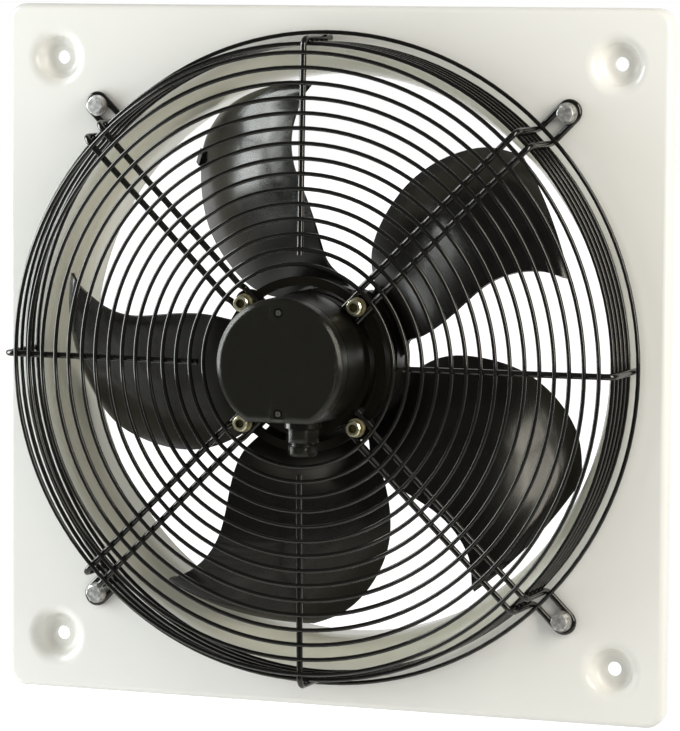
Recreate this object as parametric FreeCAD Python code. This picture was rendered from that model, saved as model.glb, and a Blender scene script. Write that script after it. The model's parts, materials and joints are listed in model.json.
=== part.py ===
import FreeCAD, Part
import math
import os

os.makedirs("parts", exist_ok=True)

# Wall-mounted axial fan with an external-rotor motor carried by its wire guard.
# Millimetres. X is right, Y is to the rear and Z is up. The front faces -Y.
# The fan axis is the Y axis, and the wall plane is y = 0.

Vector = FreeCAD.Vector
ORIGIN = Vector(0, 0, 0)
REARWARD = Vector(0, 1, 0)
DOWNWARD = Vector(0, 0, -1)
DIAGONALS = (45, 135, 225, 315)
UPRIGHTS = (0, 90, 180, 270)

# Driving dimensions of the duct and the plate
tip_diameter = 355.0
tip_gap = 4.0
inlet_curve = 25.0
spigot_rear = 33.0
plate_border = 18.5
plate_depth = 12.5
sheet = 1.5
fixing_inset = 35.0
fixing_hole = 9.0

# Driving dimensions of the guard
ring_wire = 2.7
leg_wire = 4.0
weld_gap = 0.05
guard_front = -67.3
guard_dish = 4.0
guard_inset = 1.7
guard_edge_bend = 6.0
leg_slot = 8.4
foot_bend = 5.0
foot_reach = 20.6
loop_play = 1.2
face_ring_count = 15
first_ring_reach = 10.2
last_ring_inset = 8.7
side_ring_count = 5
side_ring_front_gap = 2.5
side_ring_rear_gap = 5.1

# Driving dimensions of the M6 fasteners
thread = 6.0
thread_clearance = 0.4
hex_flats = 10.0
hex_head_height = 4.0
nut_height = 5.2
guard_washer_diameter = 13.5
motor_washer_diameter = 12.0
washer_thickness = 1.6
socket_head_diameter = 10.0
socket_flats = 5.0

# Driving dimensions of the motor
flange_front = -57.9
flange_thickness = 8.0
rim_reach = 1.9
rim_width = 5.6
rim_thickness = 4.0
rotor_radius = 46.0
rotor_gap = 3.5
rotor_length = 65.0
rotor_wall = 3.0
rotor_dish_depth = 1.5
air_gap = 0.5
cage_depth = 9.0
stack_gap = 8.5
stack_length = 26.0
end_turn = 6.5
shaft_radius = 5.0
bearing_radius = 13.0
bearing_width = 8.0
bearing_play = 0.06
tube_wall = 3.0
preload_thickness = 1.0
circlip_thickness = 1.2
groove_depth = 0.6
collar_length = 5.0

# Driving dimensions of the blades
blade_count = 5
blade_depth = 63.0
blade_sheet = 2.0
blade_camber = 0.07
foot_sheet = 2.5

# Driving dimensions of the terminal box and its gland
box_front = -100.8
box_rise = 2.7
box_front_radius = 42.0
box_front_flat = 36.0
box_draft = 0.6
box_corner = 8.0
box_wall = 2.5
cover_depth = 12.0
gasket_thickness = 0.8
top_screw_edge = 9.1
flat_screw_edge = 5.9
motor_screw_clearance = 2.4
gland_x = 6.2
gland_pad_height = 4.3
cable_diameter = 9.0

# Values that follow from the driving dimensions
plate_front = -plate_depth
tip_radius = tip_diameter / 2
throat_radius = tip_radius + tip_gap
inlet_radius = throat_radius + inlet_curve
plate_side = 2 * (inlet_radius + plate_border)
fixing_offset = plate_side / 2 - fixing_inset
thread_radius = thread / 2
clearance_radius = (thread + thread_clearance) / 2
box_base_radius = box_front_radius + box_draft
motor_screw_radius = box_base_radius + box_rise + motor_washer_diameter / 2 + motor_screw_clearance
guard_radius = inlet_radius - guard_inset
guard_bolt_radius = guard_radius + foot_reach
face_ring_first = motor_screw_radius + first_ring_reach
face_ring_last = guard_radius - last_ring_inset
leg_offset = (leg_slot + leg_wire) / 2
foot_depth = plate_front - leg_wire / 2
flange_rear = flange_front + flange_thickness
rotor_front = flange_rear + rotor_gap
rotor_rear = rotor_front + rotor_length
stack_front = flange_rear + stack_gap
stack_rear = stack_front + stack_length


# Small helpers

def save(shape, node):
    """Write one node as a STEP file."""
    shape.exportStep("parts/" + node + ".step")


def around(centre, radius, degrees):
    """Point on a circle in a flat drawing, as two coordinates."""
    angle = math.radians(degrees)
    return (centre[0] + radius * math.cos(angle), centre[1] + radius * math.sin(angle))


def rod(radius, front, rear, x=0.0, z=0.0):
    """Round bar along the fan axis."""
    return Part.makeCylinder(radius, rear - front, Vector(x, front, z), REARWARD)


def tube(outer, inner, front, rear, x=0.0, z=0.0):
    """Round tube along the fan axis."""
    return rod(outer, front, rear, x, z).cut(rod(inner, front, rear, x, z))


def hex_bar(flats, length, base, direction):
    """Hexagonal bar from a base point."""
    corner_radius = flats / math.sqrt(3)
    points = [Vector(*around((0, 0), corner_radius, 60 * i), 0) for i in range(7)]
    bar = Part.Face(Part.makePolygon(points)).extrude(Vector(0, 0, length))
    bar.Placement = FreeCAD.Placement(base, FreeCAD.Rotation(Vector(0, 0, 1), direction))
    return bar


def crowned_hex(flats, length, base, direction, crown):
    """Hexagonal bar whose far end is turned to a cone, as on a bolt head."""
    crown_share = 0.96
    bar = hex_bar(flats, length, base, direction)
    crown_radius = crown_share * flats / 2
    reach = crown_radius + length / math.tan(math.radians(crown))
    blank = Part.makeCone(reach, crown_radius, length, base, direction)
    return bar.common(blank)


def turned(*steps):
    """Solid of revolution about the fan axis.

    A step is (radius, y) for a straight line or ((radius, y), (radius, y)) for an arc through a middle point.
    """
    edges = []
    here = Vector(*steps[0], 0)
    for step in steps[1:] + steps[:1]:
        if isinstance(step[0], tuple):
            middle = Vector(*step[0], 0)
            end = Vector(*step[1], 0)
            edges.append(Part.Arc(here, middle, end).toShape())
        else:
            end = Vector(*step, 0)
            edges.append(Part.makeLine(here, end))
        here = end
    return Part.Face(Part.Wire(edges)).revolve(ORIGIN, REARWARD, 360)


def polar(radius, degrees, y=0.0, side=0.0):
    """Point at a radius and angle about the fan axis, moved sideways along the tangent."""
    angle = math.radians(degrees)
    x = radius * math.cos(angle) - side * math.sin(angle)
    z = radius * math.sin(angle) + side * math.cos(angle)
    return Vector(x, y, z)


def ring(radius, y, wire):
    """Closed wire ring round the fan axis."""
    return Part.makeTorus(radius, wire / 2, Vector(0, y, 0), REARWARD)


def bent_wire(corners, wire):
    """Round wire through corners given as (point, bend radius)."""
    shortest = 0.01
    edges = []
    here = corners[0][0]
    for (before, _), (corner, bend), (after, _) in zip(corners, corners[1:], corners[2:]):
        arriving = (corner - before).normalize()
        leaving = (after - corner).normalize()
        turn = arriving.getAngle(leaving)
        reach = bend * math.tan(turn / 2)
        start = corner - arriving * reach
        end = corner + leaving * reach
        inward = (leaving - arriving).normalize()
        middle = corner + inward * (bend / math.cos(turn / 2) - bend)
        if (start - here).Length > shortest:
            edges.append(Part.makeLine(here, start))
        edges.append(Part.Arc(start, middle, end).toShape())
        here = end
    edges.append(Part.makeLine(here, corners[-1][0]))
    first = corners[0][0]
    heading = (corners[1][0] - first).normalize()
    section = Part.Face(Part.Wire(Part.makeCircle(wire / 2, first, heading)))
    return Part.Wire(edges).makePipe(section)


def patterned(make, places):
    """Group of equal solids, one at each place."""
    return Part.makeCompound([make(place) for place in places])


# Mounting plate

def rolled_slab(side, corner, front, rear, roll):
    """Square slab with rounded corners and a rolled front edge."""
    slab = Part.makeBox(side, rear - front, side, Vector(-side / 2, front, -side / 2))
    corners = [edge for edge in slab.Edges if edge.BoundBox.YLength > sheet]
    slab = slab.makeFillet(corner, corners)
    front_edges = [edge for edge in slab.Edges if edge.BoundBox.YMax < front + sheet / 2]
    return slab.makeFillet(roll, front_edges)


def inlet_and_spigot():
    """Curved inlet that runs into the short duct."""
    centre = (inlet_radius, plate_front + inlet_curve)
    outside = inlet_curve - sheet
    return turned(
        (inlet_radius, plate_front),
        (around(centre, inlet_curve, 225), (throat_radius, centre[1])),
        (throat_radius, spigot_rear),
        (throat_radius + sheet, spigot_rear),
        (throat_radius + sheet, centre[1]),
        (around(centre, outside, 225), (inlet_radius, plate_front + sheet)),
    )


def fixing_dimple(mouth, flat, lip):
    """Drawn cup whose flat bottom rests on the wall, made of two tangent arcs."""
    depth = plate_depth - sheet
    both_curves = ((mouth - flat) ** 2 + depth ** 2) / (2 * depth)
    bowl = both_curves - lip
    lip_centre = (mouth, plate_front + lip)
    bowl_centre = (flat, -sheet - bowl)
    slope = math.degrees(math.atan2(bowl_centre[1] - lip_centre[1], bowl_centre[0] - lip_centre[0])) % 360
    lip_middle = (slope + 270) / 2
    bowl_middle = (slope - 180 + 90) / 2
    hole = fixing_hole / 2
    return turned(
        (mouth, plate_front),
        (around(lip_centre, lip, lip_middle), around(lip_centre, lip, slope)),
        (around(bowl_centre, bowl, bowl_middle), (flat, -sheet)),
        (hole, -sheet),
        (hole, 0),
        (flat, 0),
        (around(bowl_centre, bowl + sheet, bowl_middle), around(lip_centre, lip - sheet, slope)),
        (around(lip_centre, lip - sheet, lip_middle), (mouth, plate_front + sheet)),
    )


def mounting_plate():
    """Pressed plate with bent-back rim, inlet, duct and four dimples."""
    corner = 12.0
    roll = 4.0
    rim_gap = 1.0
    mouth = 21.0
    dimple_flat = 7.5
    dimple_lip = 8.0
    outer = rolled_slab(plate_side, corner, plate_front, -rim_gap, roll)
    inner = rolled_slab(plate_side - 2 * sheet, corner - sheet, plate_front + sheet, 0, roll - sheet)
    plate = outer.cut(inner)
    plate = plate.cut(rod(inlet_radius, plate_front - sheet, 0))
    added = [inlet_and_spigot()]
    dimple = fixing_dimple(mouth, dimple_flat, dimple_lip)
    for x in (-fixing_offset, fixing_offset):
        for z in (-fixing_offset, fixing_offset):
            plate = plate.cut(rod(mouth, plate_front - sheet, 0, x, z))
            added.append(dimple.translated(Vector(x, 0, z)))
    plate = plate.fuse(added).removeSplitter()
    for degrees in DIAGONALS:
        place = polar(guard_bolt_radius, degrees)
        plate = plate.cut(rod(clearance_radius, plate_front - sheet, 0, place.x, place.z))
    return plate


# Guard

def face_y(radius):
    """Depth of the ring wire centres, the face being slightly dished."""
    return guard_front + guard_dish * (radius - face_ring_first) / (face_ring_last - face_ring_first)


def leg_y(radius):
    """Depth of the leg and spoke centres behind the face rings."""
    return face_y(radius) + (ring_wire + leg_wire) / 2 + weld_gap


def spread(first, last, count):
    """Evenly spaced values from first to last."""
    return [first + (last - first) * i / (count - 1) for i in range(count)]


def guard_face_rings():
    """Concentric rings of the guard's face."""
    radii = spread(face_ring_first, face_ring_last, face_ring_count)
    return patterned(lambda radius: ring(radius, face_y(radius), ring_wire), radii)


def guard_side_rings():
    """Rings inside the legs on the guard's side."""
    radius = guard_radius - (leg_wire + ring_wire) / 2 - weld_gap
    front = leg_y(guard_radius) + guard_edge_bend + side_ring_front_gap
    rear = plate_front - side_ring_rear_gap
    return patterned(lambda y: ring(radius, y, ring_wire), spread(front, rear, side_ring_count))


def guard_rear_ring():
    """Ring outside the legs, just in front of the plate."""
    leg_radius = math.hypot(guard_radius, leg_offset)
    return ring(leg_radius + (leg_wire + ring_wire) / 2 + weld_gap, foot_depth - foot_bend, ring_wire)


def guard_leg(degrees):
    """Hairpin leg: both wires run from a motor screw over the face and side to a looped foot."""
    joggle_run = 2.4
    joggle_bend = 2.5
    past_washer = 1.55
    past_screw = motor_washer_diameter / 2 + past_washer
    inner_end = motor_screw_radius - past_screw
    joggle_start = motor_screw_radius + past_screw
    joggle_end = joggle_start + joggle_run
    motor_y = flange_front - leg_wire / 2
    half = [
        (inner_end, motor_y, 0),
        (joggle_start, motor_y, joggle_bend),
        (joggle_end, leg_y(joggle_end), joggle_bend),
        (guard_radius, leg_y(guard_radius), guard_edge_bend),
        (guard_radius, foot_depth, foot_bend),
        (guard_bolt_radius + loop_play + leg_offset, foot_depth, leg_offset),
    ]
    there = [(polar(radius, degrees, y, -leg_offset), bend) for radius, y, bend in half]
    back = [(polar(radius, degrees, y, leg_offset), bend) for radius, y, bend in reversed(half)]
    return bent_wire(there + back, leg_wire)


def guard_spoke(degrees):
    """Single wire from the second face ring over the edge to the plate."""
    inner_end = face_ring_first + 2 * ring_wire
    corners = [
        (polar(inner_end, degrees, leg_y(inner_end)), 0),
        (polar(guard_radius, degrees, leg_y(guard_radius)), guard_edge_bend),
        (polar(guard_radius, degrees, plate_front - weld_gap), 0),
    ]
    return bent_wire(corners, leg_wire)


# Guard fasteners

def guard_washer(degrees):
    """Washer on the looped foot."""
    place = polar(guard_bolt_radius, degrees)
    seat = foot_depth - leg_wire / 2
    return tube(guard_washer_diameter / 2, clearance_radius, seat - washer_thickness, seat, place.x, place.z)


def guard_bolt(degrees):
    """Hex bolt through washer, foot and plate."""
    place = polar(guard_bolt_radius, degrees)
    seat = foot_depth - leg_wire / 2 - washer_thickness
    past_nut = 2.0
    tip = plate_front + sheet + nut_height + past_nut
    crown = 30
    shank = rod(thread_radius, seat, tip, place.x, place.z)
    head = crowned_hex(hex_flats, hex_head_height, Vector(place.x, seat, place.z), -REARWARD, crown)
    return shank.fuse(head).removeSplitter()


def guard_nut(degrees):
    """Hex nut behind the plate."""
    place = polar(guard_bolt_radius, degrees, plate_front + sheet)
    blank = hex_bar(hex_flats, nut_height, place, REARWARD)
    return blank.cut(rod(thread_radius, place.y, place.y + nut_height, place.x, place.z))


# Motor fasteners

def motor_washer(degrees):
    """Washer on the inner ends of a leg."""
    place = polar(motor_screw_radius, degrees)
    seat = flange_front - leg_wire
    return tube(motor_washer_diameter / 2, clearance_radius, seat - washer_thickness, seat, place.x, place.z)


def motor_screw(degrees):
    """Socket screw through the leg's ends into the flange."""
    place = polar(motor_screw_radius, degrees)
    seat = flange_front - leg_wire - washer_thickness
    head_front = seat - thread
    socket_depth = thread / 2
    rim_chamfer = 0.8
    tip = flange_rear
    head = rod(socket_head_diameter / 2, head_front, seat, place.x, place.z)
    rim = [edge for edge in head.Edges if edge.BoundBox.YMax < head_front + rim_chamfer]
    head = head.makeChamfer(rim_chamfer, rim)
    socket = hex_bar(socket_flats, socket_depth, Vector(place.x, head_front, place.z), REARWARD)
    shank = rod(thread_radius, seat, tip, place.x, place.z)
    return head.cut(socket).fuse(shank).removeSplitter()


# Motor

bearing_depth = 5.5
tube_overhang = 10.0
front_bearing_front = flange_front + bearing_depth
rear_bearing_rear = stack_rear + tube_overhang
collar_rear = rear_bearing_rear + collar_length
tube_radius = bearing_radius + tube_wall
stator_radius = rotor_radius - rotor_wall - cage_depth - air_gap


def stator_flange():
    """Cast flange with four lugs, an open rim between them and the bearing tube."""
    lug_radius = 8.0
    tube_lip = 1.0
    disc_radius = box_base_radius + box_rise
    rim_radius = motor_screw_radius + rim_reach
    shoulder = bearing_radius - tube_wall
    tube_rear = rear_bearing_rear + tube_lip
    shoulder_front = front_bearing_front + bearing_width
    shoulder_rear = rear_bearing_rear - bearing_width - preload_thickness
    flange = turned(
        (bearing_radius, flange_front),
        (disc_radius, flange_front),
        (disc_radius, flange_rear),
        (tube_radius, flange_rear),
        (tube_radius, tube_rear),
        (bearing_radius, tube_rear),
        (bearing_radius, shoulder_rear),
        (shoulder, shoulder_rear),
        (shoulder, shoulder_front),
        (bearing_radius, shoulder_front),
    )
    arm_length = motor_screw_radius - tube_radius
    arm_corner = Vector(tube_radius, flange_front, -lug_radius)
    arm = Part.makeBox(arm_length, flange_thickness, 2 * lug_radius, arm_corner)
    lug = arm.fuse(rod(lug_radius, flange_front, flange_rear, motor_screw_radius))
    lugs = [lug.rotated(ORIGIN, -REARWARD, degrees) for degrees in DIAGONALS]
    rim = tube(rim_radius, rim_radius - rim_width, flange_front, flange_front + rim_thickness)
    flange = flange.fuse(lugs + [rim]).removeSplitter()
    for degrees in DIAGONALS:
        place = polar(motor_screw_radius, degrees)
        flange = flange.cut(rod(thread_radius, flange_front, flange_rear, place.x, place.z))
    return flange


def stator_core():
    """Stack of stator sheets on the bearing tube."""
    return tube(stator_radius, tube_radius, stack_front, stack_rear)


def stator_winding():
    """End turns in front of and behind the stator stack."""
    insulation = 3.0
    tooth_tip = 2.0
    rounding = 2.0
    inner = tube_radius + insulation
    outer = stator_radius - tooth_tip
    turns = []
    for front in (stack_front - end_turn, stack_rear):
        coil = tube(outer, inner, front, front + end_turn)
        rims = [edge for edge in coil.Edges if edge.BoundBox.YLength < rounding]
        turns.append(coil.makeFillet(rounding, rims))
    return Part.makeCompound(turns)


def bearing_places():
    """Front faces of the two bearings."""
    return (front_bearing_front, rear_bearing_rear - bearing_width)


def bearing_race():
    """Radius where the two rings of a bearing run on each other."""
    return (bearing_radius + shaft_radius) / 2


def bearing_outer_rings():
    """Outer rings of the two sealed bearings."""
    inner = bearing_race() + bearing_play / 2

    def outer_ring(front):
        return tube(bearing_radius, inner, front, front + bearing_width)

    return patterned(outer_ring, bearing_places())


def bearing_inner_rings():
    """Inner rings of the two sealed bearings."""
    outer = bearing_race() - bearing_play / 2

    def inner_ring(front):
        return tube(outer, shaft_radius, front, front + bearing_width)

    return patterned(inner_ring, bearing_places())


def preload_washer():
    """Spring washer between the tube's shoulder and the rear bearing."""
    rear = rear_bearing_rear - bearing_width
    width = 2.5
    return tube(bearing_radius, bearing_radius - width, rear - preload_thickness, rear)


def shaft():
    """Shaft with the collar that sits between rear bearing and hub."""
    collar_height = 2.0
    nose = 1.5
    collar = shaft_radius + collar_height
    front = front_bearing_front - circlip_thickness - nose
    groove = shaft_radius - groove_depth
    rear = rotor_rear - rotor_dish_depth
    return turned(
        (0, front),
        (shaft_radius, front),
        (shaft_radius, front_bearing_front - circlip_thickness),
        (groove, front_bearing_front - circlip_thickness),
        (groove, front_bearing_front),
        (shaft_radius, front_bearing_front),
        (shaft_radius, rear_bearing_rear),
        (collar, rear_bearing_rear),
        (collar, collar_rear),
        (shaft_radius, collar_rear),
        (shaft_radius, rear),
        (0, rear),
    )


def shaft_circlip():
    """Open ring in the shaft's groove in front of the front bearing."""
    rear = front_bearing_front
    front = rear - circlip_thickness
    gap = 3.0
    height = 1.8
    clip = tube(shaft_radius + height, shaft_radius - groove_depth, front, rear)
    slot = Part.makeBox(gap, circlip_thickness, bearing_radius, Vector(-gap / 2, front, 0))
    return clip.cut(slot)


def rotor_can():
    """Rotor cup, open to the front, with a hub on the shaft and a shallow dish in its rear."""
    outer_corner = 5.0
    inner_corner = 4.0
    inside = rotor_radius - rotor_wall
    floor = rotor_rear - rotor_wall
    hub = 12.0
    dish = 18.0
    dish_slope = 3.0
    outer_centre = (rotor_radius - outer_corner, rotor_rear - outer_corner)
    inner_centre = (inside - inner_corner, floor - inner_corner)
    return turned(
        (shaft_radius, collar_rear),
        (hub, collar_rear),
        (hub, floor),
        (inside - inner_corner, floor),
        (around(inner_centre, inner_corner, 45), (inside, inner_centre[1])),
        (inside, rotor_front),
        (rotor_radius, rotor_front),
        (rotor_radius, outer_centre[1]),
        (around(outer_centre, outer_corner, 45), (outer_centre[0], rotor_rear)),
        (dish + dish_slope, rotor_rear),
        (dish, rotor_rear - rotor_dish_depth),
        (shaft_radius, rotor_rear - rotor_dish_depth),
    )


def rotor_core():
    """Cage stack pressed into the rotor cup."""
    return tube(rotor_radius - rotor_wall, stator_radius + air_gap, stack_front, stack_rear)


# Blades

# Each station is (share of span, front edge angle, front edge y, rear edge angle, rear edge y).
# Angles are degrees counter-clockwise from +X as seen from the front, for the blade at the top.
# Each y is a share of the blade depth, counted from the wall plane.
blade_stations = (
    (0.0, 70.0, -0.17, 134.0, 0.16),
    (0.07, 85.0, -0.27, 140.0, 0.20),
    (0.2, 87.0, -0.60, 146.0, 0.21),
    (0.4, 92.0, -0.66, 144.6, 0.26),
    (0.6, 96.5, -0.65, 140.1, 0.32),
    (0.8, 96.0, -0.60, 132.6, 0.345),
    (0.88, 94.5, -0.58, 128.8, 0.325),
    (1.0, 91.2, -0.545, 119.5, 0.27),
)
blade_root = rotor_radius + foot_sheet / 2


def blade_point(station, chord_share, turn):
    """Point on the blade's rear face, camber bulging to the front."""
    share, front_angle, front_share, rear_angle, rear_share = station
    radius = blade_root + share * (tip_radius - blade_root)
    front_y = front_share * blade_depth
    rear_y = rear_share * blade_depth
    angle = front_angle + chord_share * (rear_angle - front_angle)
    chord = math.hypot(radius * math.radians(rear_angle - front_angle), rear_y - front_y)
    bulge = blade_camber * chord * 4 * chord_share * (1 - chord_share)
    y = front_y + chord_share * (rear_y - front_y) - bulge
    return polar(radius, angle + turn, y)


def blade_foot(turn):
    """Curved foot that lies on the rotor under the blade's root."""
    middle = 101.5
    outline = ((67.0, -0.30), (136.0, 0.04), (136.0, 0.22), (67.0, -0.07))
    corner = 3.0
    radius = rotor_radius + foot_sheet
    flat = []
    for angle, y_share in outline:
        flat.append(Vector(radius * math.sin(math.radians(middle - angle)), y_share * blade_depth, 0))
    blank = Part.Face(Part.makePolygon(flat + flat[:1])).extrude(Vector(0, 0, 2 * radius))
    blank = blank.makeFillet(corner, [edge for edge in blank.Edges if edge.BoundBox.ZLength > radius])
    blank.rotate(ORIGIN, REARWARD, 90 - middle)
    blank = blank.common(tube(radius, rotor_radius, rotor_front, rotor_rear + foot_sheet))
    return blank.rotated(ORIGIN, -REARWARD, turn)


def blade(number):
    """Sickle blade of sheet metal with its foot."""
    turn = 360 / blade_count * number
    chord_shares = (0.0, 0.25, 0.5, 0.75, 1.0)
    grid = [[blade_point(station, share, turn) for share in chord_shares] for station in blade_stations]
    surface = Part.BSplineSurface()
    surface.interpolate(grid)
    skin = surface.toShape().makeOffsetShape(-blade_sheet, 0.01, fill=True)
    solid = Part.Solid(skin) if skin.ShapeType == "Shell" else skin
    return solid.fuse(blade_foot(turn)).removeSplitter()


def balance_clip(carrier):
    """Small sprung clip pushed over the rear edge of the top blade."""
    length = 10.0
    depth = 7.0
    height = 4.4
    overhang = 1.2
    inboard, station, outboard = blade_stations[-3:]
    edge = blade_point(station, 1.0, 0)
    along = (blade_point(outboard, 1.0, 0) - blade_point(inboard, 1.0, 0)).normalize()
    inward = (blade_point(station, 0.75, 0) - edge).normalize()
    across = along.cross(inward).normalize()
    inward = across.cross(along).normalize()
    block = Part.makeBox(length, depth, height, Vector(-length / 2, -overhang, -height / 2))
    turn = FreeCAD.Matrix(
        along.x, inward.x, across.x, edge.x,
        along.y, inward.y, across.y, edge.y,
        along.z, inward.z, across.z, edge.z,
        0, 0, 0, 1,
    )
    block = block.transformGeometry(turn)
    return block.cut(carrier)


# Terminal box

def d_wire(radius, flat, corner, y):
    """Round outline with a flat bottom and rounded corners, set a little above the fan axis."""
    across = math.sqrt((radius - corner) ** 2 - (flat - corner) ** 2)
    side = math.degrees(math.atan2(corner - flat, across))
    bulge_x, bulge_z = around((across, corner - flat), corner, (side - 90) / 2)
    side_x, side_z = around((0, 0), radius, side)
    bottom = Vector(across, y, -flat)
    bulge = Vector(bulge_x, y, bulge_z)
    tangent = Vector(side_x, y, side_z)

    def mirrored(point):
        return Vector(-point.x, point.y, point.z)

    return Part.Wire([
        Part.makeLine(mirrored(bottom), bottom),
        Part.Arc(bottom, bulge, tangent).toShape(),
        Part.Arc(tangent, Vector(0, y, radius), mirrored(tangent)).toShape(),
        Part.Arc(mirrored(tangent), mirrored(bulge), mirrored(bottom)).toShape(),
    ]).translated(Vector(0, 0, box_rise))


def box_growth(y):
    """How far the drafted wall stands out at a depth."""
    return box_draft * (y - box_front) / (flange_front - box_front)


def box_section(y, inset):
    """Outline of the box at a depth, the box being drafted towards the front."""
    growth = box_growth(y) - inset
    return d_wire(box_front_radius + growth, box_front_flat + growth, box_corner - inset, y)


def box_block(front, rear, inset):
    """Drafted block of the box between two depths."""
    return Part.makeLoft([box_section(rear, inset), box_section(front, inset)], True, True)


box_split = box_front + cover_depth
cover_rear = box_split - gasket_thickness
cover_screw_top = box_rise + box_front_radius - top_screw_edge
cover_screw_bottom = box_rise - box_front_flat + flat_screw_edge
cover_screw_heights = (cover_screw_top, cover_screw_bottom)
cover_screw_radius = 1.5
cover_screw_head = 2.5
cover_recess = 2.9
boss_radius = 4.2
recess_depth = 2.2
gland_y = (flange_front + box_split) / 2
gland_seat = box_rise - box_front_flat - box_growth(gland_y) - gland_pad_height
gland_thread_radius = 8.0


def terminal_box_body():
    """Open cup on the motor flange, with screw bosses and the gland pad."""
    pad_radius = 12.0
    pad_length = gland_pad_height + 2 * box_wall
    floor = flange_front - box_wall
    cable_hole = 8.0
    body = box_block(box_split, flange_front, 0).cut(box_block(box_split, floor, box_wall))
    for z in cover_screw_heights:
        boss = rod(boss_radius, box_split, floor, 0, z)
        body = body.fuse(boss.common(box_block(box_split, flange_front, 0)))
    pad = Part.makeCylinder(pad_radius, pad_length, Vector(gland_x, gland_y, gland_seat))
    depth_range = rod(2 * box_base_radius, box_split, flange_front)
    pad = pad.common(depth_range).cut(box_block(box_split, floor, box_wall))
    body = body.fuse(pad).removeSplitter()
    for z in cover_screw_heights:
        body = body.cut(rod(cover_screw_radius, box_split, floor - box_wall, 0, z))
    bore = Part.makeCylinder(gland_thread_radius, pad_length, Vector(gland_x, gland_y, gland_seat))
    return body.cut(bore).cut(rod(cable_hole, floor, flange_front))


def terminal_box_gasket():
    """Seal between the box and its cover."""
    inset = 0.4
    gasket = box_block(cover_rear, box_split, inset).cut(box_block(cover_rear, box_split, box_wall))
    for z in cover_screw_heights:
        gasket = gasket.cut(rod(boss_radius + inset, cover_rear, box_split, 0, z))
    return gasket


def terminal_box_cover():
    """Cover with a rounded front edge and two countersunk recesses."""
    edge_radius = 3.5
    boss_wall = 1.0
    cover = box_block(box_front, cover_rear, 0)
    front_edges = [edge for edge in cover.Edges if edge.BoundBox.YMax < box_front + sheet]
    cover = cover.makeFillet(edge_radius, front_edges)
    cover = cover.cut(box_block(box_front + box_wall, cover_rear, box_wall))
    for z in cover_screw_heights:
        boss = rod(boss_radius + boss_wall, box_front + box_wall, cover_rear, 0, z)
        cover = cover.fuse(boss.common(box_block(box_front, cover_rear, sheet)))
    cover = cover.removeSplitter()
    for z in cover_screw_heights:
        cover = cover.cut(rod(cover_screw_radius, box_front, cover_rear, 0, z))
        cover = cover.cut(rod(cover_recess, box_front, box_front + recess_depth, 0, z))
    return cover


def cover_screw(z):
    """Pan-head screw with a cross slot."""
    head_height = 2.0
    slot = 0.8
    slot_depth = 1.0
    thread_length = 12.0
    seat = box_front + recess_depth
    front = seat - head_height
    tip = box_split + thread_length
    screw = rod(cover_screw_head, front, seat, 0, z).fuse(rod(cover_screw_radius, seat, tip, 0, z))
    reach = 2 * (cover_screw_head - slot)
    for wide, tall in ((reach, slot), (slot, reach)):
        screw = screw.cut(Part.makeBox(wide, slot_depth, tall, Vector(-wide / 2, front, z - tall / 2)))
    return screw.removeSplitter()


def terminal_block():
    """Row of wire terminals on the box floor."""
    length = 40.0
    depth = 14.0
    height = 15.0
    bottom = 8.0
    ways = 5
    screw_radius = 2.2
    hole_depth = 5.0
    rear = flange_front - box_wall
    block = Part.makeBox(length, depth, height, Vector(-length / 2, rear - depth, bottom))
    for i in range(ways):
        x = (i - (ways - 1) / 2) * length / ways
        block = block.cut(rod(screw_radius, rear - depth, rear - depth + hole_depth, x, bottom + height / 2))
    return block


def run_capacitor():
    """Flat capacitor on the box floor."""
    length = 44.0
    depth = 22.0
    height = 20.0
    bottom = -19.0
    rounding = 2.0
    rear = flange_front - box_wall
    block = Part.makeBox(length, depth, height, Vector(-length / 2, rear - depth, bottom))
    upright = [edge for edge in block.Edges if edge.BoundBox.YLength > rounding]
    return block.makeFillet(rounding, upright)


# Cable gland

seal_wall = 1.5
neck_wall = 1.3
body_height = 9.0
neck_length = 6.0
nut_gap = 2.5
nut_floor = 2.8
gland_body_flats = 19.0
gland_nut_flats = 17.0
gland_bore = cable_diameter / 2 + seal_wall
gland_neck = gland_bore + neck_wall
gland_body_bottom = gland_seat - body_height
gland_neck_bottom = gland_body_bottom - neck_length
gland_nut_top = gland_body_bottom - nut_gap
gland_nut_bottom = gland_neck_bottom - nut_floor


def post(radius, top, bottom):
    """Round bar along the gland's axis."""
    return Part.makeCylinder(radius, top - bottom, Vector(gland_x, gland_y, bottom))


def gland_body():
    """Hex body with a thread in the box and a neck for the nut."""
    thread_length = gland_pad_height
    thread_top = gland_seat + thread_length
    seat = Vector(gland_x, gland_y, gland_seat)
    body = hex_bar(gland_body_flats, gland_seat - gland_body_bottom, seat, DOWNWARD)
    body = body.fuse(post(gland_thread_radius, thread_top, gland_seat))
    body = body.fuse(post(gland_neck, gland_body_bottom, gland_neck_bottom)).removeSplitter()
    return body.cut(post(gland_bore, thread_top, gland_neck_bottom))


def gland_nut():
    """Clamping nut with a turned lower end."""
    crown = 45
    cable_play = 0.5
    top = Vector(gland_x, gland_y, gland_nut_top)
    blank = crowned_hex(gland_nut_flats, gland_nut_top - gland_nut_bottom, top, DOWNWARD, crown)
    nut = blank.cut(post(gland_neck, gland_nut_top, gland_neck_bottom))
    return nut.cut(post(cable_diameter / 2 + cable_play, gland_neck_bottom, gland_nut_bottom))


def gland_seal():
    """Rubber sleeve that grips the cable."""
    inside_body = 3.0
    top = gland_body_bottom + inside_body
    return post(gland_bore, top, gland_neck_bottom).cut(post(cable_diameter / 2, top, gland_neck_bottom))


# Write every node

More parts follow.
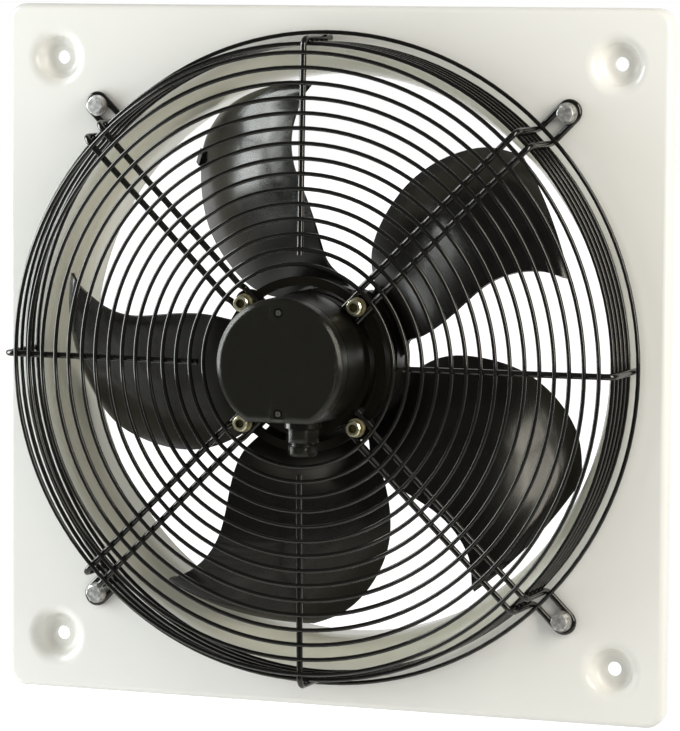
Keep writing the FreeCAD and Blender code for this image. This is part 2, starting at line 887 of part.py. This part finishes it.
save(mounting_plate(), "mounting_plate")
save(guard_face_rings(), "guard_face_rings")
save(guard_side_rings(), "guard_side_rings")
save(guard_rear_ring(), "guard_rear_ring")
save(patterned(guard_leg, DIAGONALS), "guard_legs")
save(patterned(guard_spoke, UPRIGHTS), "guard_spokes")
save(patterned(guard_bolt, DIAGONALS), "guard_bolts")
save(patterned(guard_washer, DIAGONALS), "guard_washers")
save(patterned(guard_nut, DIAGONALS), "guard_nuts")
save(patterned(motor_screw, DIAGONALS), "motor_screws")
save(patterned(motor_washer, DIAGONALS), "motor_washers")
save(stator_flange(), "stator_flange")
save(stator_core(), "stator_core")
save(stator_winding(), "stator_winding")
save(bearing_outer_rings(), "bearing_outer_rings")
save(preload_washer(), "preload_washer")
save(terminal_box_body(), "terminal_box_body")
save(terminal_box_gasket(), "terminal_box_gasket")
save(terminal_box_cover(), "terminal_box_cover")
save(patterned(cover_screw, cover_screw_heights), "cover_screws")
save(terminal_block(), "terminal_block")
save(run_capacitor(), "run_capacitor")
save(gland_body(), "gland_body")
save(gland_nut(), "gland_nut")
save(gland_seal(), "gland_seal")
save(rotor_can(), "rotor_can")
save(rotor_core(), "rotor_core")
save(shaft(), "shaft")
save(shaft_circlip(), "shaft_circlip")
save(bearing_inner_rings(), "bearing_inner_rings")
blades = [blade(number) for number in range(blade_count)]
for number, solid in enumerate(blades, 1):
    save(solid, "blade_" + str(number))
save(balance_clip(blades[0]), "balance_clip")
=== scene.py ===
import json
import math

import bpy
from mathutils import Matrix, Vector


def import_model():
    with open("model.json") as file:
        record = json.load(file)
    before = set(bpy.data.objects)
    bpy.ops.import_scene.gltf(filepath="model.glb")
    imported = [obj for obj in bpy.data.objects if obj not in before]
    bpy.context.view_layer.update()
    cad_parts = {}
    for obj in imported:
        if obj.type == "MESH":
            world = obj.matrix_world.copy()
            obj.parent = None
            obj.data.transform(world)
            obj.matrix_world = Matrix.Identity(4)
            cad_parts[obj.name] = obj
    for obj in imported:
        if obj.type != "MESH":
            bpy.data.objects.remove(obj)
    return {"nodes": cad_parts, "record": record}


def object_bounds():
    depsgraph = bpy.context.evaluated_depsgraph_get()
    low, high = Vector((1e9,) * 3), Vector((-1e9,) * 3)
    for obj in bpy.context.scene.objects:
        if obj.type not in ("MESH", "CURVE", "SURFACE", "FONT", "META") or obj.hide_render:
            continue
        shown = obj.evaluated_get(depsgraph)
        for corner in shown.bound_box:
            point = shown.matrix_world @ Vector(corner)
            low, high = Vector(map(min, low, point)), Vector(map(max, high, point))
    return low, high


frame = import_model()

# Looks of a wall-mounted axial fan: materials of its nodes, a plain studio and the photograph's camera
cad_low, cad_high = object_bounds()
nodes = frame["nodes"]

# The photograph's camera, in degrees and metres, with the image in pixels and the sensor in millimetres
IMAGE_WIDTH = 680
IMAGE_HEIGHT = 731
CAMERA_AZIMUTH = 20.475
CAMERA_ELEVATION = 5.204
CAMERA_ROLL = 0.378
CAMERA_TARGET = Vector((0.003474, 0.0, -0.005248))
CAMERA_DISTANCE = 2.64856
FOCAL_PIXELS = 4124.77
SENSOR = 36.0

# Floor, in metres, with its glow as a share of white
FLOOR_DROP = 0.55
FLOOR_SIZE = 40.0
FLOOR_FRONT = -1.2
FLOOR_COLOUR = (0.78, 0.78, 0.78, 1.0)
FLOOR_GLOW = 0.85
FLOOR_BOUNCE = 0.18

# World, as shares of white: its light on the object, and what mirrors show of the dark front of the studio
AMBIENT = 0.440
FRONT_GLOW = 0.115

# Where mirrors see the studio go from dark to white, as metres of Y on the floor and as Y of a direction
FADE_FRONT = 0.25
FADE_REAR = 0.75

# Lamps, in metres and watts
LAMP_HEIGHT = 1.1
LEFT_WIDTH = 0.68
SHINE_PLACE = (-1.18, -0.27, 0.32)
SHINE_POWER = 29.0
FILL_PLACE = (-1.10, -0.55, 0.02)
FILL_POWER = 15.0
RIGHT_WIDTH = 0.40
RIGHT_PLACE = (1.08, -0.57, 0.46)
RIGHT_POWER = 12.5
COOL = (0.89, 0.955, 1.0)
WARM = (1.0, 0.982, 0.935)

# Places where a finish changes, in metres
SCREW_CIRCLE_RADIUS = 0.0537
SOCKET_RADIUS = 0.0028
SOCKET_FADE_RADIUS = SOCKET_RADIUS * 1.05
COVER_SCREW_RADIUS = 0.0025
RECESS_RADIUS = COVER_SCREW_RADIUS * 2
# Radius of the painted glint in the middle of each cover screw's head
GLINT_RADIUS = 0.0017
HUB_RADIUS = 0.068
HUB_FADE_RADIUS = HUB_RADIUS * 1.6
# Painted warm shade inside the duct covers out to this radius and fades to nothing at the mouth's radius
DUCT_RADIUS = 0.196
DUCT_MOUTH_RADIUS = 0.2065
BOX_RIM_DEPTH = -0.0928
BOX_RIM_FADE = 0.002

# Radii that edges are shaded with, in metres
BOX_EDGE_RADIUS = 0.0045
GLAND_EDGE_RADIUS = 0.004

# Where a finish fades: as a multiple of a reach, and as the cosine between a normal and a direction
NEAR_FADE = 1.1
AXIS_FADE = 0.2
SIDE_WALL_START = -0.5
SIDE_WALL_END = -0.15

# Added roughness of the plastic's side walls and of the blades at the hub
SIDE_WALL_ROUGHNESS = 0.18
HUB_ROUGHNESS = 0.2

# Noise: the values that patches span, how it is squeezed in X, Y and Z, and how much finer roughness is
NOISE_LOW = 0.35
NOISE_HIGH = 0.65
SCRATCHES = (1.0, 6.0, 1.0)
TURNS = (1.0, 5.0, 1.0)
FINER = 1.7

# Unit of relief, in metres
MICRON = 0.000001

# Parts of a vector that lie across the fan axis
ACROSS = (1.0, 0.0, 1.0)
INWARD = (-1.0, 0.0, -1.0)

# Nodes with another finish than their material slot's
OTHER_FINISH = {
    "motor_washers": "yellow_zinc",
    "balance_clip": "guard_coat",
    "terminal_box_body": "box_side_plastic",
}

# Colours, linear
WHITE = (1.0, 1.0, 1.0, 1.0)
WARM_TINT = (1.0, 0.96, 0.86, 1.0)
CREAM = (0.815, 0.797, 0.735, 1.0)
CREAM_SHADE = (0.805, 0.785, 0.719, 1.0)
# Painted warm shade on the inside of the duct
CREAM_PAINTED_SHADE = (0.740, 0.715, 0.570, 1.0)
BLACK_COAT = (0.0042, 0.0041, 0.0036, 1.0)
BLACK_COAT_WORN = (0.0075, 0.0073, 0.0064, 1.0)
BLACK_BLADE = (0.0042, 0.0040, 0.0034, 1.0)
BLACK_BLADE_DUST = (0.0058, 0.0056, 0.0048, 1.0)
BLACK_PLASTIC = (0.0040, 0.0040, 0.0026, 1.0)
BLACK_PLASTIC_SCUFF = (0.0052, 0.0052, 0.0036, 1.0)
BLACK_RUBBER = (0.0110, 0.0110, 0.0110, 1.0)
BROWN_BLACK = (0.0075, 0.0065, 0.0045, 1.0)
BROWN_BLACK_WORN = (0.0095, 0.0082, 0.0058, 1.0)
BROWN_COAT = (0.0220, 0.0185, 0.0125, 1.0)
BROWN_COAT_WORN = (0.0270, 0.0230, 0.0160, 1.0)
BLACK_STEEL = (0.050, 0.050, 0.047, 1.0)
BLACK_STEEL_DARK = (0.030, 0.030, 0.028, 1.0)
# Painted glint on the cover screws' heads
GLINT_STEEL = (0.480, 0.490, 0.460, 1.0)
BRIGHT_ZINC = (0.930, 0.910, 0.860, 1.0)
BRIGHT_ZINC_DULL = (0.520, 0.505, 0.475, 1.0)
YELLOW_ZINC = (0.900, 0.850, 0.590, 1.0)
YELLOW_ZINC_BRONZE = (0.640, 0.580, 0.360, 1.0)
# Painted shade inside the hexagon sockets
SOCKET_PAINTED_SHADE = (0.180, 0.160, 0.075, 1.0)
GROUND_STEEL = (0.560, 0.560, 0.570, 1.0)
GROUND_STEEL_DARK = (0.360, 0.360, 0.370, 1.0)
STACK_STEEL = (0.230, 0.225, 0.220, 1.0)
STACK_STEEL_DARK = (0.120, 0.118, 0.115, 1.0)
COPPER = (0.560, 0.240, 0.095, 1.0)
COPPER_DARK = (0.330, 0.120, 0.045, 1.0)
PALE_PLASTIC = (0.680, 0.670, 0.630, 1.0)
PALE_PLASTIC_SHADE = (0.600, 0.590, 0.550, 1.0)
GREY_CASE = (0.085, 0.085, 0.090, 1.0)
GREY_CASE_DARK = (0.055, 0.055, 0.060, 1.0)


# Node building blocks, in which each value is a constant or another node's output

def feed(tree, socket, value):
    """Links an output to a socket, or sets the socket to a constant."""
    if isinstance(value, bpy.types.NodeSocket):
        tree.links.new(value, socket)
    else:
        socket.default_value = value


def arithmetic(tree, operation, first, second):
    """Result of an operation on two numbers."""
    node = tree.nodes.new("ShaderNodeMath")
    node.operation = operation
    feed(tree, node.inputs[0], first)
    feed(tree, node.inputs[1], second)
    return node.outputs["Value"]


def vector_arithmetic(tree, operation, *vectors, result="Vector"):
    """Result of an operation on one vector or two."""
    node = tree.nodes.new("ShaderNodeVectorMath")
    node.operation = operation
    for socket, vector in zip(node.inputs, vectors):
        feed(tree, socket, vector)
    return node.outputs[result]


def spread(tree, value, start, end, low, high):
    """Value that goes from low at the start to high at the end, and stays there beyond them."""
    node = tree.nodes.new("ShaderNodeMapRange")
    feed(tree, node.inputs["Value"], value)
    feed(tree, node.inputs["From Min"], start)
    feed(tree, node.inputs["From Max"], end)
    feed(tree, node.inputs["To Min"], low)
    feed(tree, node.inputs["To Max"], high)
    return node.outputs["Result"]


def blend(tree, kind, first, second, amount):
    """Mix of two colours, of kind RGBA, or of two vectors, of kind VECTOR."""
    node = tree.nodes.new("ShaderNodeMix")
    node.data_type = kind
    ends = [socket for socket in node.inputs if socket.type == kind and socket.name in ("A", "B")]
    feed(tree, ends[0], first)
    feed(tree, ends[1], second)
    feed(tree, node.inputs["Factor"], amount)
    return [socket for socket in node.outputs if socket.type == kind][0]


def along_axis(tree, vector):
    """The Y part of a vector."""
    node = tree.nodes.new("ShaderNodeSeparateXYZ")
    feed(tree, node.inputs["Vector"], vector)
    return node.outputs["Y"]


class Finish:
    """A procedural material built on one Principled shader with object coordinates."""

    def __init__(self, name, metallic=0.0, specular=0.5, tint=WHITE):
        self.material = bpy.data.materials.new(name)
        self.material.use_nodes = True
        self.tree = self.material.node_tree
        self.shader = self.tree.nodes["Principled BSDF"]
        self.shader.inputs["Metallic"].default_value = metallic
        self.shader.inputs["Specular IOR Level"].default_value = specular
        self.shader.inputs["Specular Tint"].default_value = tint
        self.place = self.tree.nodes.new("ShaderNodeTexCoord").outputs["Object"]
        self.normal = None

    def surface_normal(self):
        """Normal of the surface without any relief."""
        return self.tree.nodes.new("ShaderNodeNewGeometry").outputs["Normal"]

    def noise(self, scale, detail=3.0, squeeze=None):
        """Noise over the object, in waves per metre."""
        texture = self.tree.nodes.new("ShaderNodeTexNoise")
        texture.inputs["Scale"].default_value = scale
        texture.inputs["Detail"].default_value = detail
        place = self.place
        if squeeze:
            mapping = self.tree.nodes.new("ShaderNodeMapping")
            mapping.inputs["Scale"].default_value = squeeze
            feed(self.tree, mapping.inputs["Vector"], place)
            place = mapping.outputs["Vector"]
        feed(self.tree, texture.inputs["Vector"], place)
        return texture.outputs["Fac"]

    def patches(self, scale, start=NOISE_LOW, end=NOISE_HIGH):
        """Cloudy patches, in waves per metre, from nothing to one."""
        return spread(self.tree, self.noise(scale), start, end, 0.0, 1.0)

    def within(self, distance, full, none, amount=1.0):
        """An amount out to one distance, in metres, that fades to nothing at another."""
        return spread(self.tree, distance, full, none, amount, 0.0)

    def corner_distance(self, offset):
        """Distance to the nearest of four lines along Y, at this offset from the axis in X and in Z."""
        folded = vector_arithmetic(self.tree, "ABSOLUTE", self.place)
        moved = vector_arithmetic(self.tree, "SUBTRACT", folded, (offset, 0.0, offset))
        flat = vector_arithmetic(self.tree, "MULTIPLY", moved, ACROSS)
        return vector_arithmetic(self.tree, "LENGTH", flat, result="Value")

    def axis_distance(self):
        """Distance from the fan axis."""
        return self.corner_distance(0.0)

    def near(self, place, reach):
        """One within this reach of a place, in metres, and nothing farther out."""
        distance = vector_arithmetic(self.tree, "DISTANCE", self.place, place, result="Value")
        return self.within(distance, reach, reach * NEAR_FADE)

    def facing_axis(self, radius):
        """One on surfaces that face the fan axis at about this radius, and nothing on the others."""
        inward = vector_arithmetic(self.tree, "MULTIPLY", self.place, INWARD)
        facing = vector_arithmetic(self.tree, "DOT_PRODUCT", inward, self.surface_normal(), result="Value")
        return spread(self.tree, facing, 0.0, radius * AXIS_FADE, 0.0, 1.0)

    def side_walls(self, amount):
        """An amount on surfaces that face away from the front, and nothing on those that face it."""
        facing = along_axis(self.tree, self.surface_normal())
        return spread(self.tree, facing, SIDE_WALL_START, SIDE_WALL_END, 0.0, amount)

    def behind(self, depth, fade):
        """One behind this place on the axis, in metres, and nothing in front of it."""
        return spread(self.tree, along_axis(self.tree, self.place), depth, depth + fade, 0.0, 1.0)

    def colour(self, first, second, amount):
        """Base colour mixed from two colours."""
        mixed = blend(self.tree, "RGBA", first, second, amount)
        feed(self.tree, self.shader.inputs["Base Color"], mixed)

    def recolour(self, colour, amount):
        """Base colour mixed from the present one and another."""
        present = self.shader.inputs["Base Color"].links[0].from_socket
        self.colour(present, colour, amount)

    def roughness(self, value, low, high, more=None):
        """Roughness spread over a range, with more of it where wanted."""
        rough = spread(self.tree, value, NOISE_LOW, NOISE_HIGH, low, high)
        if more:
            rough = arithmetic(self.tree, "ADD", rough, more)
        feed(self.tree, self.shader.inputs["Roughness"], rough)

    def rounding(self, radius, sharp=()):
        """Shades edges as if rounded by a radius in metres, apart from some sharp regions."""
        bevel = self.tree.nodes.new("ShaderNodeBevel")
        bevel.inputs["Radius"].default_value = radius
        self.normal = bevel.outputs["Normal"]
        for region in sharp:
            self.normal = blend(self.tree, "VECTOR", self.normal, self.surface_normal(), region)

    def bump(self, value, height):
        """Adds relief of a height in metres to the surface."""
        relief = self.tree.nodes.new("ShaderNodeBump")
        relief.inputs["Strength"].default_value = 1.0
        relief.inputs["Distance"].default_value = height
        feed(self.tree, relief.inputs["Height"], value)
        if self.normal:
            feed(self.tree, relief.inputs["Normal"], self.normal)
        feed(self.tree, self.shader.inputs["Normal"], relief.outputs["Normal"])


# Materials

def plate_coat():
    """Cream powder coat with fine orange peel, with painted warm shade inside the duct."""
    finish = Finish("plate_coat", specular=0.45)
    finish.colour(CREAM, CREAM_SHADE, finish.patches(9.0))
    # Painted warm shade: darker, yellower cream on the surfaces inside the duct that face its axis
    duct_shade_reach = finish.within(finish.axis_distance(), DUCT_RADIUS, DUCT_MOUTH_RADIUS)
    duct = arithmetic(finish.tree, "MULTIPLY", duct_shade_reach, finish.facing_axis(DUCT_RADIUS))
    finish.recolour(CREAM_PAINTED_SHADE, duct)
    finish.roughness(finish.noise(60.0), low=0.20, high=0.23)
    finish.bump(finish.noise(900.0, detail=2.0), height=8 * MICRON)
    return finish.material


def guard_coat():
    """Black dip coat on wire, a little uneven."""
    finish = Finish("guard_coat", specular=0.68, tint=WARM_TINT)
    finish.colour(BLACK_COAT, BLACK_COAT_WORN, finish.patches(120.0, start=0.5, end=0.75))
    finish.roughness(finish.noise(150.0), low=0.09, high=0.12)
    finish.bump(finish.noise(500.0, detail=2.0), height=12 * MICRON)
    return finish.material


def blade_coat():
    """Satin black coat on sheet, with faint dust, duller near the hub."""
    finish = Finish("blade_coat", specular=0.50, tint=WARM_TINT)
    finish.colour(BLACK_BLADE, BLACK_BLADE_DUST, finish.patches(30.0))
    dull = finish.within(finish.axis_distance(), HUB_RADIUS, HUB_FADE_RADIUS, HUB_ROUGHNESS)
    finish.roughness(finish.noise(80.0), low=0.195, high=0.21, more=dull)
    finish.bump(finish.noise(1200.0, detail=2.0), height=1.2 * MICRON)
    return finish.material


def motor_coat(name, first, second):
    """Matt dark coat on the rotor and the cast flange, slightly coarse."""
    finish = Finish(name, specular=0.07, tint=WARM_TINT)
    finish.colour(first, second, finish.patches(90.0))
    finish.roughness(finish.noise(120.0), low=0.50, high=0.60)
    finish.bump(finish.noise(650.0), height=30 * MICRON)
    return finish.material


def screw_places():
    """Middles of the two cover screws' heads."""
    corners = [Vector(corner) for corner in nodes["cover_screws"].bound_box]
    front = min(corner.y for corner in corners)
    top = max(corner.z for corner in corners) - COVER_SCREW_RADIUS
    bottom = min(corner.z for corner in corners) + COVER_SCREW_RADIUS
    return [(0.0, front, height) for height in (top, bottom)]


def black_plastic(name, specular, low, high):
    """Black moulded plastic with faint scuffs, duller on the side walls."""
    finish = Finish(name, specular=specular, tint=WARM_TINT)
    finish.colour(BLACK_PLASTIC, BLACK_PLASTIC_SCUFF, finish.patches(45.0, start=0.45, end=0.7))
    finish.roughness(finish.noise(110.0), low, high, more=finish.side_walls(SIDE_WALL_ROUGHNESS))
    return finish


def box_plastic(name, specular):
    """Plastic of the terminal box, with its front rim rounded."""
    finish = black_plastic(name, specular, low=0.18, high=0.21)
    recesses = [finish.near(place, RECESS_RADIUS) for place in screw_places()]
    finish.rounding(BOX_EDGE_RADIUS, recesses + [finish.behind(BOX_RIM_DEPTH, BOX_RIM_FADE)])
    finish.bump(finish.noise(2600.0, detail=2.0), height=3 * MICRON)
    return finish.material


def gland_plastic():
    """Plastic of the cable gland, with all its edges rounded."""
    finish = black_plastic("gland_plastic", specular=0.90, low=0.16, high=0.20)
    finish.rounding(GLAND_EDGE_RADIUS)
    finish.bump(finish.noise(2600.0, detail=2.0), height=3 * MICRON)
    return finish.material


def seal_rubber():
    """Matt black rubber."""
    finish = Finish("seal_rubber", specular=0.25)
    finish.colour(BLACK_RUBBER, BLACK_COAT, finish.patches(300.0))
    finish.roughness(finish.noise(400.0), low=0.6, high=0.75)
    finish.bump(finish.noise(1500.0, detail=2.0), height=40 * MICRON)
    return finish.material


def metal(name, bright, dull, patch, low, high):
    """Plated or ground steel with cloudy patches and fine scratches."""
    finish = Finish(name, metallic=1.0)
    finish.colour(bright, dull, finish.patches(patch))
    finish.roughness(finish.noise(patch * FINER), low, high)
    finish.bump(finish.noise(1800.0, squeeze=SCRATCHES), height=8 * MICRON)
    return finish


def bright_zinc():
    """Bright zinc plating with dull patches."""
    return metal("bright_zinc", BRIGHT_ZINC, BRIGHT_ZINC_DULL, patch=420.0, low=0.40, high=0.60).material


def bearing_steel():
    """Ground steel of the bearings, the shaft and its rings."""
    finish = metal("bearing_steel", GROUND_STEEL, GROUND_STEEL_DARK, patch=350.0, low=0.22, high=0.34)
    return finish.material


def core_sheet():
    """Stacked sheet of the stator and rotor cores."""
    return metal("core_sheet", STACK_STEEL, STACK_STEEL_DARK, patch=420.0, low=0.40, high=0.55).material


def socket_screw_zinc():
    """Yellow zinc, with painted shade inside the hexagon sockets."""
    finish = metal("yellow_zinc", YELLOW_ZINC, YELLOW_ZINC_BRONZE, patch=300.0, low=0.26, high=0.36)
    distance = finish.corner_distance(SCREW_CIRCLE_RADIUS * math.sqrt(0.5))
    # Painted shade darkens the inside of each socket
    finish.recolour(SOCKET_PAINTED_SHADE, finish.within(distance, SOCKET_RADIUS, SOCKET_FADE_RADIUS))
    return finish.material


def cover_screw_steel():
    """Blackened steel, with a painted bright glint in the middle of each head."""
    finish = metal("black_steel", BLACK_STEEL, BLACK_STEEL_DARK, patch=400.0, low=0.25, high=0.35)
    # Each head gets a painted glint in its middle
    for place in screw_places():
        finish.recolour(GLINT_STEEL, finish.near(place, GLINT_RADIUS))
    return finish.material


def moulded(name, first, second):
    """Plain moulded plastic of the pieces inside the box."""
    finish = Finish(name, specular=0.4)
    finish.colour(first, second, finish.patches(200.0))
    finish.roughness(finish.noise(260.0), low=0.45, high=0.55)
    finish.bump(finish.noise(2200.0, detail=2.0), height=20 * MICRON)
    return finish.material


def winding_wire():
    """Varnished copper turns, ridged round the axis."""
    finish = Finish("winding_wire", metallic=0.8)
    finish.colour(COPPER, COPPER_DARK, finish.patches(400.0))
    finish.roughness(finish.noise(300.0), low=0.3, high=0.45)
    finish.bump(finish.noise(700.0, detail=2.0, squeeze=TURNS), height=300 * MICRON)
    return finish.material


def all_materials():
    """Every material by the name of its finish."""
    return {
        "plate_coat": plate_coat(),
        "guard_coat": guard_coat(),
        "blade_coat": blade_coat(),
        "rotor_coat": motor_coat("rotor_coat", BROWN_COAT, BROWN_COAT_WORN),
        "flange_cast": motor_coat("flange_cast", BROWN_BLACK, BROWN_BLACK_WORN),
        "box_plastic": box_plastic("box_plastic", specular=0.90),
        "box_side_plastic": box_plastic("box_side_plastic", specular=0.45),
        "gland_plastic": gland_plastic(),
        "seal_rubber": seal_rubber(),
        "bright_zinc": bright_zinc(),
        "yellow_zinc": socket_screw_zinc(),
        "black_steel": cover_screw_steel(),
        "bearing_steel": bearing_steel(),
        "core_sheet": core_sheet(),
        "winding": winding_wire(),
        "block_plastic": moulded("block_plastic", PALE_PLASTIC, PALE_PLASTIC_SHADE),
        "capacitor_plastic": moulded("capacitor_plastic", GREY_CASE, GREY_CASE_DARK),
    }


def dress_nodes():
    """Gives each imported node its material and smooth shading."""
    materials = all_materials()
    for subpart in frame["record"]["subparts"]:
        name = subpart["node"]
        mesh = nodes[name].data
        mesh.materials.clear()
        mesh.materials.append(materials[OTHER_FINISH.get(name, subpart["material_slot"])])
        mesh.polygons.foreach_set("use_smooth", [True] * len(mesh.polygons))


# Studio

def backdrop_strength(tree, place, other, dark):
    """One for camera and transmission rays, fading to dark in front for mirror rays, else other."""
    path = tree.nodes.new("ShaderNodeLightPath")
    seen = spread(tree, along_axis(tree, place), FADE_FRONT, FADE_REAR, dark, 1.0)
    mirrored = spread(tree, path.outputs["Is Glossy Ray"], 0.0, 1.0, other, seen)
    direct = arithmetic(tree, "MAXIMUM", path.outputs["Is Camera Ray"], path.outputs["Is Transmission Ray"])
    return arithmetic(tree, "MAXIMUM", mirrored, direct)


def floor_material():
    """Pale floor that shows white where lit and keeps the shadow."""
    material = bpy.data.materials.new("floor")
    material.use_nodes = True
    tree = material.node_tree
    tree.nodes.remove(tree.nodes["Principled BSDF"])
    diffuse = tree.nodes.new("ShaderNodeBsdfDiffuse")
    diffuse.inputs["Color"].default_value = FLOOR_COLOUR
    place = tree.nodes.new("ShaderNodeNewGeometry").outputs["Position"]
    strength = backdrop_strength(tree, place, FLOOR_BOUNCE, 0.0)
    glow = tree.nodes.new("ShaderNodeEmission")
    feed(tree, glow.inputs["Strength"], arithmetic(tree, "MULTIPLY", strength, FLOOR_GLOW))
    total = tree.nodes.new("ShaderNodeAddShader")
    feed(tree, total.inputs[0], diffuse.outputs["BSDF"])
    feed(tree, total.inputs[1], glow.outputs["Emission"])
    feed(tree, tree.nodes["Material Output"].inputs["Surface"], total.outputs["Shader"])
    return material


def floor():
    """Flat floor below and behind the fan."""
    half = FLOOR_SIZE / 2
    level = cad_low.z - FLOOR_DROP
    front = [(-half, FLOOR_FRONT, level), (half, FLOOR_FRONT, level)]
    corners = front + [(half, half, level), (-half, half, level)]
    mesh = bpy.data.meshes.new("floor")
    mesh.from_pydata(corners, [], [range(len(corners))])
    mesh.materials.append(floor_material())
    surface = bpy.data.objects.new("floor", mesh)
    bpy.context.scene.collection.objects.link(surface)


def world():
    """White background, with a studio that is darker in front of the object for reflections."""
    made = bpy.data.worlds.new("studio")
    made.use_nodes = True
    tree = made.node_tree
    background = tree.nodes["Background"]
    background.inputs["Color"].default_value = WHITE
    direction = tree.nodes.new("ShaderNodeTexCoord").outputs["Generated"]
    strength = backdrop_strength(tree, direction, AMBIENT, FRONT_GLOW)
    feed(tree, background.inputs["Strength"], strength)
    bpy.context.scene.world = made


def softbox(name, place, width, power, colour):
    """Tall area light aimed at the fan."""
    lamp = bpy.data.lights.new(name, "AREA")
    lamp.shape = "RECTANGLE"
    lamp.size = width
    lamp.size_y = LAMP_HEIGHT
    lamp.energy = power
    lamp.color = colour
    box = bpy.data.objects.new(name, lamp)
    box.location = place
    box.rotation_mode = "QUATERNION"
    box.rotation_quaternion = (-Vector(place)).to_track_quat("-Z", "Y")
    bpy.context.scene.collection.objects.link(box)
    return box


def lamps():
    """Left lamps, one only for highlights and one only for plain light, and a right lamp for both."""
    shine = softbox("left_shine", SHINE_PLACE, LEFT_WIDTH, SHINE_POWER, COOL)
    shine.visible_diffuse = False
    fill = softbox("left_fill", FILL_PLACE, LEFT_WIDTH, FILL_POWER, COOL)
    fill.visible_glossy = False
    softbox("right_light", RIGHT_PLACE, RIGHT_WIDTH, RIGHT_POWER, WARM)


def camera():
    """Camera at the photograph's angle, with a sensor as wide as the image's longer side."""
    azimuth = math.radians(CAMERA_AZIMUTH)
    elevation = math.radians(CAMERA_ELEVATION)
    roll = math.radians(CAMERA_ROLL)
    flat = math.cos(elevation)
    back = Vector((math.sin(azimuth) * flat, -math.cos(azimuth) * flat, math.sin(elevation)))
    level = Vector((math.cos(azimuth), math.sin(azimuth), 0.0))
    upright = back.cross(level)
    right = level * math.cos(roll) + upright * math.sin(roll)
    up = upright * math.cos(roll) - level * math.sin(roll)
    data = bpy.data.cameras.new("camera")
    data.sensor_width = SENSOR
    data.lens = SENSOR * FOCAL_PIXELS / max(IMAGE_WIDTH, IMAGE_HEIGHT)
    data.clip_end = FLOOR_SIZE * 2
    made = bpy.data.objects.new("camera", data)
    turned = Matrix((right, up, back)).transposed().to_4x4()
    made.matrix_world = Matrix.Translation(CAMERA_TARGET + back * CAMERA_DISTANCE) @ turned
    bpy.context.scene.collection.objects.link(made)
    bpy.context.scene.camera = made


dress_nodes()
floor()
world()
lamps()
camera()
bpy.context.scene.view_settings.view_transform = "Standard"
